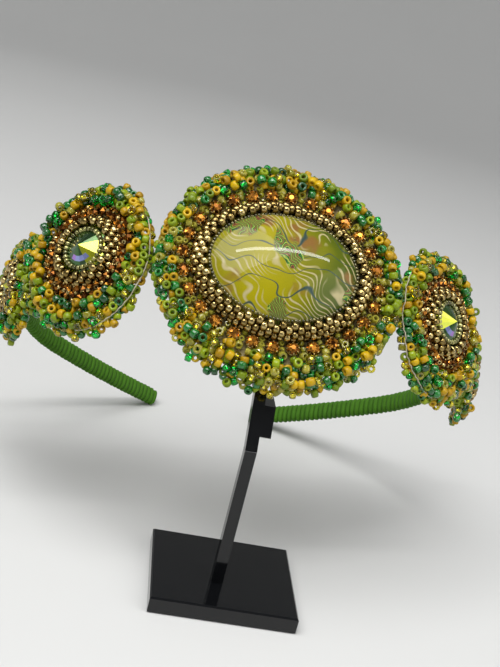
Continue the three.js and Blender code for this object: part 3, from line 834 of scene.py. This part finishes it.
def mounted_crystals():
    """Ring of cut crystals in claw cups, with small beads between and outside them."""
    space = spaces["center"]
    chance = np.random.default_rng(41)
    names = sorted(name for name in nodes if name.startswith("center_crystal_"))
    finishes = [TOPAZ, GOLD, OLIVE_CLEAR, LIME, OCHRE]
    ring = Joined("center_mounted_crystals", finishes, smooth=False)
    corners, faces = facet_rings(CRYSTAL_RINGS, CRYSTAL_FACETS)
    faces.insert(1, tuple(range(4 * CRYSTAL_FACETS, 5 * CRYSTAL_FACETS)))
    boxes = [space.box(name) for name in names]
    feet = np.array([[*((low + high) / 2)[:2], low[2]] for low, high in boxes])
    for foot in feet:
        spin = chance.uniform(0, TURN)
        basis = bases([[*chance.normal(0, 0.06, 2), 1.0]], [spin])[0]
        up = basis[:, 2]
        # Random facet tones: the crystal's amber, with painted glints on the bright facets and
        # painted shade on the dark ones
        tones = chance.beta(0.45, 0.6, len(faces))
        add_facets(ring, corners, faces, foot + up * CRYSTAL_LIFT, basis, CRYSTAL_SIZE, tones)
        ring.place(CUP, [foot], [up], CRYSTAL_SIZE, 1, chance.random())
        for k in range(PRONG_COUNT):
            angle = spin + TURN * (k + 0.5) / PRONG_COUNT
            arm = basis @ np.array(on_circle(PRONG_RADIUS, angle, PRONG_HEIGHT))
            lean = basis @ np.array(on_circle(-0.9, angle, 1.0))
            ring.place(PRONG, [foot + arm], [lean], [PRONG_SIZE], 1, chance.random())

    def small_beads(middles, shift, size, spread, level, slots):
        amount = len(middles)
        away = unit(middles[:, :2]) * shift
        centers = middles + np.column_stack([away, np.full(amount, level)])
        centers += chance.normal(0, 0.12, centers.shape)
        axes = chance.normal(0, 1, centers.shape)
        sizes = size * chance.uniform(spread, 1.08, amount)
        ring.place(SEED_BEAD, centers, axes, sizes, slots(amount), chance.random(amount))

    feet[:, 2] = feet[0, 2]
    order = np.argsort(np.arctan2(feet[:, 1], feet[:, 0]))
    gaps = (feet[order] + feet[np.roll(order, -1)]) / 2
    for shift, size, level in GAP_BEADS:
        small_beads(gaps, shift, size, 0.9, level, lambda amount: 2)
    small_beads(feet, OUTSIDE_SHIFT, OUTSIDE_SIZE, 0.92, 0.95,
                lambda amount: chance.integers(2, 5, amount))
    ring.build(space, "topaz_crystal", *names)


def rough_ball(chance):
    """Small many-faced crystal whose corners are drawn unevenly."""
    golden = (1 + math.sqrt(5)) / 2
    raw = []
    for a in (-1, 1):
        for b in (-golden, golden):
            raw += [(0, a, b), (a, b, 0), (b, 0, a)]
    points = unit(raw) * 0.5
    points = points * chance.uniform(0.86, 1.08, (len(points), 1))
    apart = np.linalg.norm(points[:, None] - points[None], axis=2)
    near = apart < apart[0, 1:].min() * 1.35
    faces = []
    for i, j, k in itertools.combinations(range(12), 3):
        if near[i, j] and near[j, k] and near[i, k]:
            a, b, c = points[i], points[j], points[k]
            out = np.cross(b - a, c - a) @ (a + b + c)
            faces.append((i, j, k) if out > 0 else (i, k, j))
    return points, faces


RING_PITCH = 1.95
RING_BEAD_PITCH = 2.0
# Rows of rough crystals and of gold beads: offset, height and, for the beads, size
RING_CRYSTALS = ((-0.75, 1.7), (0.85, 1.15))
RING_BEADS = ((-1.6, 1.5, 1.4), (0.05, 1.9, 1.3), (1.75, 0.9, 1.5))


def crystal_ring(label, seed):
    """Ring of rough topaz crystals with gold beads between them."""
    space = spaces[label]
    chance = np.random.default_rng(seed)
    seat = space.box(f"{label}_crystal_ring")[0][2]
    line = space.oval(f"{label}_crystal_ring").grown(-1.4)
    ring = Joined(f"{label}_rough_crystals", [TOPAZ, GOLD], smooth=False)
    for offset, height in RING_CRYSTALS:
        oval = line.grown(offset)
        for angle in oval.angles(int(oval.length() / RING_PITCH), chance.random()):
            flat = oval.at(angle) + chance.normal(0, 0.16, 2)
            center = np.array([*flat, seat + height + chance.uniform(-0.2, 0.35)])
            corners, faces = rough_ball(chance)
            basis = bases(chance.normal(0, 1, (1, 3)), chance.uniform(0, TURN, 1))[0]
            # Random facet tones: the crystal's amber, with painted glints on the bright facets and
            # painted shade on the dark ones
            tones = chance.beta(0.5, 1.5, len(faces))
            add_facets(ring, corners, faces, center, basis, chance.uniform(1.9, 2.4), tones)
    for offset, height, size in RING_BEADS:
        oval = line.grown(offset)
        amount = int(oval.length() / RING_BEAD_PITCH)
        centers, _ = bead_row(oval, oval.angles(amount, 0.5), seat + height)
        centers += chance.normal(0, 0.1, centers.shape)
        axes = chance.normal(0, 1, (amount, 3))
        ring.place(GOLD_BEAD, centers, axes, size, 1, chance.random(amount))
    ring.build(space, "topaz_crystal", f"{label}_crystal_ring")


STONE_FACETS = 16
# Rings under the long facets: shares of the stone's radius and rise, and the ring's phase
STONE_RINGS = ((0.45, 0.02, 0.0), (0.97, 0.30, 0.0), (1.0, 0.38, 0.5), (0.88, 0.46, 0.0))
# Turns from the painted highlight facet at which the painted light and shade of the long facets
# change
PAINTED_HIGHLIGHT_TURN = 0.3
LIT_LIME_TURN = -1.2
PAINTED_SHADE_TURN = 0.7
VIOLET_REFLECTION_TURNS = (-2.2, -1.75, -0.9)
# The painted violet reflection band's edges, as shares of the way from the point to the rim
VIOLET_REFLECTION_BAND = (0.62, 0.42)


def pointed_stone(label, seed, glint_angle, side):
    """Round stone whose long facets rise to a point; their colours are painted light: a painted
    highlight toward the glint angle, lit lime on one side of it, painted shade on the other and a
    painted violet reflection band on some.
    """
    space = spaces[label]
    chance = np.random.default_rng(seed)
    oval = space.oval(f"{label}_stone")
    low, high = space.box(f"{label}_stone")
    rise = high[2] - low[2]
    facets = STONE_FACETS
    rings = [(oval.half_x * share, height * rise, phase) for share, height, phase in STONE_RINGS]
    corners, faces = facet_rings(rings, facets)
    tones = [0.1, *chance.uniform(0, 0.3, facets), *chance.uniform(0, 0.5, 2 * facets),
             *chance.uniform([0, 0.1] * facets, [0.5, 0.6] * facets)]
    apex = len(corners)
    corners.append((0, 0, rise))
    for i in range(facets):
        a, b = 3 * facets + i, 3 * facets + (i + 1) % facets
        # Painted highlight, lit lime, painted shade and painted violet reflection, set by each
        # facet's turn from the glint angle
        turn = side * ((TURN * (i + 0.5) / facets - glint_angle + math.pi) % TURN - math.pi)
        if abs(turn) < PAINTED_HIGHLIGHT_TURN:
            tone = 0.8
        elif LIT_LIME_TURN < turn < 0:
            tone = 0.62 + 0.12 * turn + chance.uniform(-0.03, 0.03)
        elif 0 < turn < PAINTED_SHADE_TURN:
            tone = 0.22
        else:
            tone = chance.uniform(0.0, 0.2)
        if VIOLET_REFLECTION_TURNS[0] < turn < VIOLET_REFLECTION_TURNS[2]:
            rows = []
            for share in VIOLET_REFLECTION_BAND:
                rows.append((len(corners), len(corners) + 1))
                for end in (a, b):
                    point = np.array(corners[end]) * share + np.array(corners[apex]) * (1 - share)
                    corners.append(tuple(point))
            (c, d), (e, f) = rows
            faces += [(a, b, d, c), (c, d, f, e), (e, f, apex)]
            tones += [tone, 0.9 + 0.1 * (turn < VIOLET_REFLECTION_TURNS[1]), tone]
        else:
            faces.append((a, b, apex))
            tones.append(tone)
    stone = Joined(f"{label}_cut_stone", [STONE], smooth=False)
    add_facets(stone, corners, faces, np.array([oval.x, oval.y, low[2]]), np.eye(3), 1.0, tones)
    stone.build(space, "lime_crystal", f"{label}_stone")


DOME_WALL = 1.5
DOME_AROUND = 96
DOME_ROWS = 20


def glass_dome():
    """Oval cabochon: a low girdle and a smooth dome."""
    space = spaces["center"]
    oval = space.oval("cabochon")
    low, high = space.box("cabochon")
    rise = high[2] - low[2] - DOME_WALL
    profile = [(0.96, 0.0), (1.0, 0.25)]
    for k in range(DOME_ROWS):
        angle = math.pi / 2 * k / DOME_ROWS
        profile.append((math.cos(angle), DOME_WALL + rise * math.sin(angle)))
    corners = []
    for share, height in profile:
        for i in range(DOME_AROUND):
            x, y, _ = on_circle(share, TURN * i / DOME_AROUND, 0)
            corners.append((oval.x + oval.half_x * x, oval.y + oval.half_y * y, low[2] + height))
    corners += [(oval.x, oval.y, low[2]), (oval.x, oval.y, high[2])]
    dome = Joined("glass_dome", [PICTURE])
    dome.add_faces(corners, ring_solid(len(profile), DOME_AROUND, fans=True))
    dome.build(space, "printed_glass", "cabochon")


# Felt and thread
FELT_AROUND = 120
# Felt's section: offset from its edge and share of its thickness
FELT_PROFILE = ((-4.0, 0.0), (-0.45, 0.0), (-0.08, 0.2), (0.1, 0.5), (-0.08, 0.8), (-0.45, 1.0),
                (-4.0, 1.0))
STITCH_PITCH = 2.1
# Stitch over the felt's edge: offset from the edge, height and share of its slant
STITCH_PATH = ((-1.5, -0.02, -1), (-0.5, -0.12, -0.4), (0.16, 0.25, -0.1), (0.26, 0.7, 0.1),
               (0.1, 1.25, 0.4), (-0.4, 1.52, 0.7), (-1.2, 1.45, 1.0))
STITCH_RADIUS = 0.14
STITCH_SIDES = 5
SEAM_POINTS = 60
SEAM_SMOOTHING = 7
THREAD_RADIUS = 0.16
THREAD_SIDES = 6
# Band stitches: pitch, and the stretch and depth of the band that each one takes in
BAND_STITCH_PITCH = 2.6
BAND_STITCH_REACH = 3.5
BAND_STITCH_DEPTH = 9


def felt_plate(label, seed):
    """Felt backing with a soft edge, and the pale stitches that wrap over it."""
    space = spaces[label]
    chance = np.random.default_rng(seed)
    oval = space.oval(f"{label}_backing")
    low, high = space.box(f"{label}_backing")
    ripple = chance.normal(0, 0.05, FELT_AROUND)
    corners = []
    for offset, share in FELT_PROFILE:
        shrunk = oval.grown(offset)
        for i in range(FELT_AROUND):
            angle = TURN * i / FELT_AROUND
            flat = shrunk.at(angle) + shrunk.outward(angle) * ripple[i] * (offset > -1)
            corners.append((*flat, low[2] + (high[2] - low[2]) * share))
    corners += [(oval.x, oval.y, low[2]), (oval.x, oval.y, high[2])]
    plate = Joined(f"{label}_felt", [FELT, THREAD])
    plate.add_faces(corners, ring_solid(len(FELT_PROFILE), FELT_AROUND, fans=True))
    for angle in oval.angles(int(oval.length() / STITCH_PITCH), 0.5):
        angle = angle + chance.normal(0, 0.01)
        away, edge = oval.outward(angle), oval.at(angle)
        slant = np.array([-away[1], away[0]]) * chance.uniform(0.1, 0.5)
        line = [[*(edge + away * offset + slant * move), low[2] + height]
                for offset, height, move in STITCH_PATH]
        tube(plate, line, STITCH_RADIUS, STITCH_SIDES, 1, chance.random())
    plate.build(space, "beige_felt", f"{label}_backing")


def seam(label, start, end, seed):
    """Pale thread that runs along the felt's edge between the bead rows and the edge loops."""
    chance = np.random.default_rng(seed)
    oval = spaces[label].oval(f"{label}_bead_border")
    angles = np.linspace(start, end, SEAM_POINTS)
    raw = chance.normal(0, 0.35, SEAM_POINTS + SEAM_SMOOTHING - 1)
    wander = np.convolve(raw, np.ones(SEAM_SMOOTHING) / SEAM_SMOOTHING, "valid")
    line = [[*(oval.at(angle) + oval.outward(angle) * (shift - 0.45)), 2.2 + 3.0 * shift]
            for angle, shift in zip(angles, wander)]
    thread = Joined(f"{label}_seam_thread", [THREAD])
    tube(thread, line, THREAD_RADIUS, THREAD_SIDES, 0, 0.5)
    thread.build(spaces[label], "beige_felt")


def band_stitches(label, seed):
    """Thread loops over the back of the band that hold a felt plate to it."""
    chance = np.random.default_rng(seed)
    space = spaces[label]
    oval = space.oval(f"{label}_backing")
    band = space.into(corners_of("hair_band"))
    stitches = Joined(f"{label}_band_stitches", [THREAD])
    for x in np.arange(-oval.half_x * 0.7, oval.half_x * 0.71, BAND_STITCH_PITCH):
        near = band[(np.abs(band[:, 0] - oval.x - x) < BAND_STITCH_REACH)
                    & (np.abs(band[:, 2]) < BAND_STITCH_DEPTH)]
        if len(near) < 6:
            continue
        depth, top, foot = near[:, 2].min(), near[:, 1].max(), near[:, 1].min()
        slant = chance.uniform(-0.5, 0.5)
        loop = ((0.0, top + 1.6, 0.1), (0.0, top + 0.7, -0.1), (0.1, top + 0.1, depth * 0.45),
                (0.2, top - 0.9, depth - 0.15), (0.5, (top + foot) / 2, depth - 0.3),
                (0.8, foot + 0.9, depth - 0.15), (0.9, foot - 0.1, depth * 0.45),
                (1.0, foot - 0.7, -0.1), (1.0, foot - 1.6, 0.1))
        line = [[oval.x + x + move * slant, y, z] for move, y, z in loop]
        tube(stitches, line, THREAD_RADIUS, THREAD_SIDES, 0, chance.random())
    stitches.build(space, "beige_felt")


# Stand
CEMENT_SQUEEZE = 1.05
CEMENT_LAP = 0.12
EDGE_BEVEL = 0.00015


def stand_joints():
    """Cement in the thin joints of the stand, each a block between two facing faces."""
    joints = Joined("stand_joints", [CEMENT, ACRYLIC], smooth=False)

    def ordered(points, x, y):
        """Corners of a face in turn, as seen along the axis that x and y leave out."""
        away = points - points.mean(axis=0)
        return points[np.argsort(np.arctan2(away[:, y], away[:, x]))]

    def block(first, second, slot):
        faces = [(3, 2, 1, 0), (4, 5, 6, 7)]
        faces += [(i, (i + 1) % 4, (i + 1) % 4 + 4, i + 4) for i in range(4)]
        joints.add_faces(np.vstack([first, second]), faces, slot)

    post, arm, ledge = (corners_of(f"stand_{part}") / MM for part in ("post", "arm", "ledge"))
    post = post[np.argsort(post[:, 2])]
    arm = arm[np.argsort(arm[:, 2])]
    low, high = (end.mean(axis=0) * (1 - CEMENT_SQUEEZE) + end * CEMENT_SQUEEZE
                 for end in (ordered(post[-4:], 0, 1), ordered(arm[:4], 0, 1)))
    lap = unit(high.mean(axis=0) - low.mean(axis=0)) * CEMENT_LAP
    block(low - lap, high + lap, 0)
    foot = ordered(post[:4], 0, 1)
    block(foot * [1, 1, 0] + [0, 0, corners_of("stand_base")[:, 2].max() / MM], foot, 1)
    face = ledge[np.isclose(ledge[:, 0], ledge[:, 0].min(), atol=0.01)]
    face = np.unique(np.round(face, 4), axis=0)
    face = ordered(face[np.argsort(face[:, 1])][:4], 1, 2)
    wall = face.copy()
    wall[:, 0] = arm[:, 0].max()
    block(wall, face, 1)
    joints.build(WORLD, "black_acrylic")


def dress_stand():
    """Black acrylic with softened edges on the stand's own solids."""
    for part in ("base", "post", "arm", "ledge"):
        solid = nodes[f"stand_{part}"]
        solid.data.materials.clear()
        solid.data.materials.append(ACRYLIC)
        rounding = solid.modifiers.new("edge", "BEVEL")
        rounding.width = EDGE_BEVEL
        rounding.segments = 2


# Wound band: arcs from the crown to one tip, as shares of the half width and turns in degrees
BAND_HALF_WIDTH = 65
BAND_ARCS = ((1.62, 12), (0.87, 34), (0.72, 82.5), (4.25, 10.3))
BAND_HEIGHT = 6.2
BAND_THICKNESS = 3.8
CORD_PITCH = 1.85
CORD_RADIUS = 0.95
CORD_SIDES = 7
CORD_SAMPLES = 22
CORD_SQUARENESS = 0.75
END_REACH = 1.9
END_ROUNDING = 0.6
BAND_HALF_LENGTH = sum(share * BAND_HALF_WIDTH * math.radians(turn) for share, turn in BAND_ARCS)


def band_place(length):
    """Middle line of the band in its own plane: place and heading at a length from the crown."""
    side = 1 if length >= 0 else -1
    left, heading, x, y = abs(length), 0.0, 0.0, 0.0
    for share, turn in BAND_ARCS:
        radius = share * BAND_HALF_WIDTH
        span = min(left, radius * math.radians(turn))
        after = heading + span / radius
        x += radius * (math.sin(after) - math.sin(heading))
        y += radius * (math.cos(heading) - math.cos(after))
        heading = after
        left -= span
    x += max(left, 0) * math.cos(heading)
    y += max(left, 0) * math.sin(heading)
    return side * x, y, side * heading


def band_space():
    """The band's own plane, from the crown of the solid's middle line."""
    along = np.array([1.0, 0.0, 0.0])
    basis = np.array([along, np.cross(BAND_NORMAL, along), BAND_NORMAL])
    local = corners_of("hair_band") @ basis.T
    middle = (local.min(axis=0) + local.max(axis=0)) / 2
    crown = np.array([middle[0], local[:, 1].min() + BAND_THICKNESS / 2 * MM, middle[2]])
    return Space(basis.T @ crown, basis)


def wound_band():
    """Cord wound side by side round the whole band, closing over each tip."""
    chance = np.random.default_rng(77)
    sides = CORD_SIDES
    reach = BAND_HALF_LENGTH + END_REACH - CORD_RADIUS * 0.6
    turns = int(round(2 * reach / CORD_PITCH))
    steps = turns * CORD_SAMPLES
    lengths = np.linspace(-reach, reach, steps + 1)
    x, y, heading = np.array([band_place(length) for length in lengths]).T
    level = np.zeros(steps + 1)
    past = np.maximum(0.0, np.abs(lengths) - BAND_HALF_LENGTH + END_ROUNDING)
    shrink = np.sqrt(np.maximum(0.0, 1 - (past / (END_REACH + END_ROUNDING)) ** 2))
    angles = TURN * np.arange(steps + 1) / CORD_SAMPLES

    def swung(wave, thickness):
        """Way of the cord's middle from the band's, for one turn's wave."""
        squared = np.sign(wave) * np.abs(wave) ** CORD_SQUARENESS
        return squared * (thickness / 2 - CORD_RADIUS) * shrink

    out, up = swung(np.cos(angles), BAND_THICKNESS), swung(np.sin(angles), BAND_HEIGHT)
    line = np.column_stack([x + out * np.sin(heading), y - out * np.cos(heading), up])
    ahead = unit(np.gradient(line, axis=0))
    tangent = np.column_stack([np.cos(heading), np.sin(heading), level])
    third = unit(np.cross(ahead, tangent))
    swell = CORD_RADIUS * (1 + 0.04 * np.sin(np.arange(steps + 1) * 0.37))
    corners = ring_corners(line, swell, np.cross(third, ahead), third, sides)

    row = np.arange(steps)[:, None] * sides
    i = np.arange(sides)[None]
    j = (i + 1) % sides
    quads = np.stack([row + i, row + sides + i, row + sides + j, row + j], axis=2)
    last = steps * sides
    ends = [list(range(sides)), list(reversed(range(last, last + sides)))]

    # Painted shade: each turn's faces get darker the less they face out of the band, so the grooves
    # between turns are painted dark; a random tone per turn is added
    around = corners.reshape(-1, sides, 3)
    middle = np.column_stack([x, y, level])[:, None]
    away = unit((around - middle) * [1, 1, BAND_THICKNESS / BAND_HEIGHT])
    facing = np.einsum("nsk,nsk->ns", away, unit(around - line[:, None]))
    turn_tone = np.repeat(chance.random(turns + 2), CORD_SAMPLES)[: steps + 1]
    tones = 0.22 * turn_tone[:, None] + 0.78 * np.clip(facing, 0, 1) ** 1.5
    winding = Joined("wound_band", [CORD])
    winding.add_faces(corners, quads.reshape(-1, 4).tolist() + ends, tones=tones.ravel())
    winding.build(band_space(), "green_cord", "hair_band")


# Stage and lights, in metres
FLOOR_FLAT = 1.1
FLOOR_BEND = 0.9
FLOOR_BEND_STEPS = 12
FLOOR_TOP = 1.6
FLOOR_AROUND = 96
# Area lights: place, target, size, power and spin in degrees
LIGHTS = {
    "key": ((-0.45, -0.35, 1.25), (0, 0, 0.07), (1.1, 1.1), 19, 0),
    "strip": ((0.05, -0.15, 0.62), (0, 0, 0.08), (0.56, 0.03), 1.2, -5),
    "fill": ((0.9, -0.6, 0.7), (0, 0, 0.07), (1.0, 1.0), 5, 0),
}
SKY_COLOR = (0.80, 0.82, 0.85, 1)
SKY_STRENGTH = 0.22


def add_floor():
    """Round pale floor that sweeps up into a wall far from the object."""
    profile = [(0.4, 0.0), (FLOOR_FLAT, 0.0)]
    for k in range(1, FLOOR_BEND_STEPS + 1):
        out, down, _ = on_circle(FLOOR_BEND, TURN / 4 * (1 - k / FLOOR_BEND_STEPS), 0)
        profile.append((FLOOR_FLAT + out, FLOOR_BEND - down))
    profile.append((FLOOR_FLAT + FLOOR_BEND, FLOOR_TOP))
    corners = [(0, 0, 0)]
    for radius, height in profile:
        corners += [on_circle(radius, TURN * i / FLOOR_AROUND, height) for i in range(FLOOR_AROUND)]
    faces = []
    for i in range(FLOOR_AROUND):
        j = (i + 1) % FLOOR_AROUND
        faces.append((0, 1 + i, 1 + j))
        for row in range(len(profile) - 1):
            a, b = 1 + row * FLOOR_AROUND + i, 1 + row * FLOOR_AROUND + j
            faces.append((a, a + FLOOR_AROUND, b + FLOOR_AROUND, b))
    mesh = bpy.data.meshes.new("floor")
    mesh.from_pydata(corners, [], faces)
    mesh.polygons.foreach_set("use_smooth", [True] * len(faces))
    floor = bpy.data.objects.new("floor", mesh)
    bpy.context.scene.collection.objects.link(floor)
    finish = Finish("pale_floor", Roughness=0.7)
    color = finish.blend(finish.noise(3.0, 2.0), (0.60, 0.60, 0.59), (0.64, 0.64, 0.63))
    finish.feed(finish.shader.inputs["Base Color"], color)
    mesh.materials.append(finish.material)


def add_lights():
    """Area lights and the even light of the room."""
    for name, (place, target, size, power, spin) in LIGHTS.items():
        data = bpy.data.lights.new(name, "AREA")
        data.shape = "RECTANGLE"
        data.size, data.size_y = size
        data.energy = power
        light = bpy.data.objects.new(name, data)
        light.location = place
        aim = (Vector(target) - Vector(place)).to_track_quat("-Z", "Y").to_matrix()
        light.rotation_euler = (aim @ Matrix.Rotation(math.radians(spin), 3, "Z")).to_euler()
        bpy.context.scene.collection.objects.link(light)
    world = bpy.data.worlds.new("studio")
    world.use_nodes = True
    background = world.node_tree.nodes["Background"]
    background.inputs["Color"].default_value = SKY_COLOR
    background.inputs["Strength"].default_value = SKY_STRENGTH
    bpy.context.scene.world = world


# For each hand: the direction of the stones' painted highlight and the way that their painted facet
# tones turn
PAINTED_GLINT = {"left": (-0.05, 1), "right": (math.pi * 0.92, -1)}
# For each hand: the seam's ends, as shares of a turn, and the way from the end to the side
SEAMS = {"left": (-0.25, 0.08), "right": (0.42, 0.75)}
INWARD = {"left": 1, "right": -1}

add_camera()
wound_band()
gold_bezel("center", CENTER_CLIMB, 11, 1.0, RIM_GLASS)
glass_dome()
mounted_crystals()
seed_border("center", "bezel", 4.2, 101, lambda a: np.abs(np.cos(a)) > 0.80)
felt_plate("center", 201)
for number, hand in enumerate(HANDS):
    label = f"{hand}_side"
    gold_bezel(label, SIDE_CLIMB, 21 + number, 1.35, RIM_LIME)
    pointed_stone(label, 31 + number, *PAINTED_GLINT[hand])
    crystal_ring(label, 51 + number)
    seed_border(label, "crystal_ring", 0.4, 111 + number, lambda a: np.abs(np.cos(a)) > 0.75)
    felt_plate(label, 211 + number)
    seam(label, *(TURN * share for share in SEAMS[hand]), 231 + number)
for number, hand in enumerate(HANDS):
    label = f"{hand}_end"
    gold_bezel(label, END_CLIMB, 61 + number, 1.0, RIM_LIME)
    pointed_stone(label, 71 + number, *PAINTED_GLINT[hand])
    seed_border(label, "bezel", 0.3, 121 + number, lambda a: np.cos(a) * INWARD[hand] > 0.70,
                heap=1)
    felt_plate(label, 221 + number)
dress_stand()
for number, label in enumerate(spaces):
    band_stitches(label, 241 + number)
stand_joints()
for number, hand in enumerate(HANDS):
    joint_beads(hand, 251 + number)

add_floor()
add_lights()
bpy.context.scene.view_settings.view_transform = "Standard"
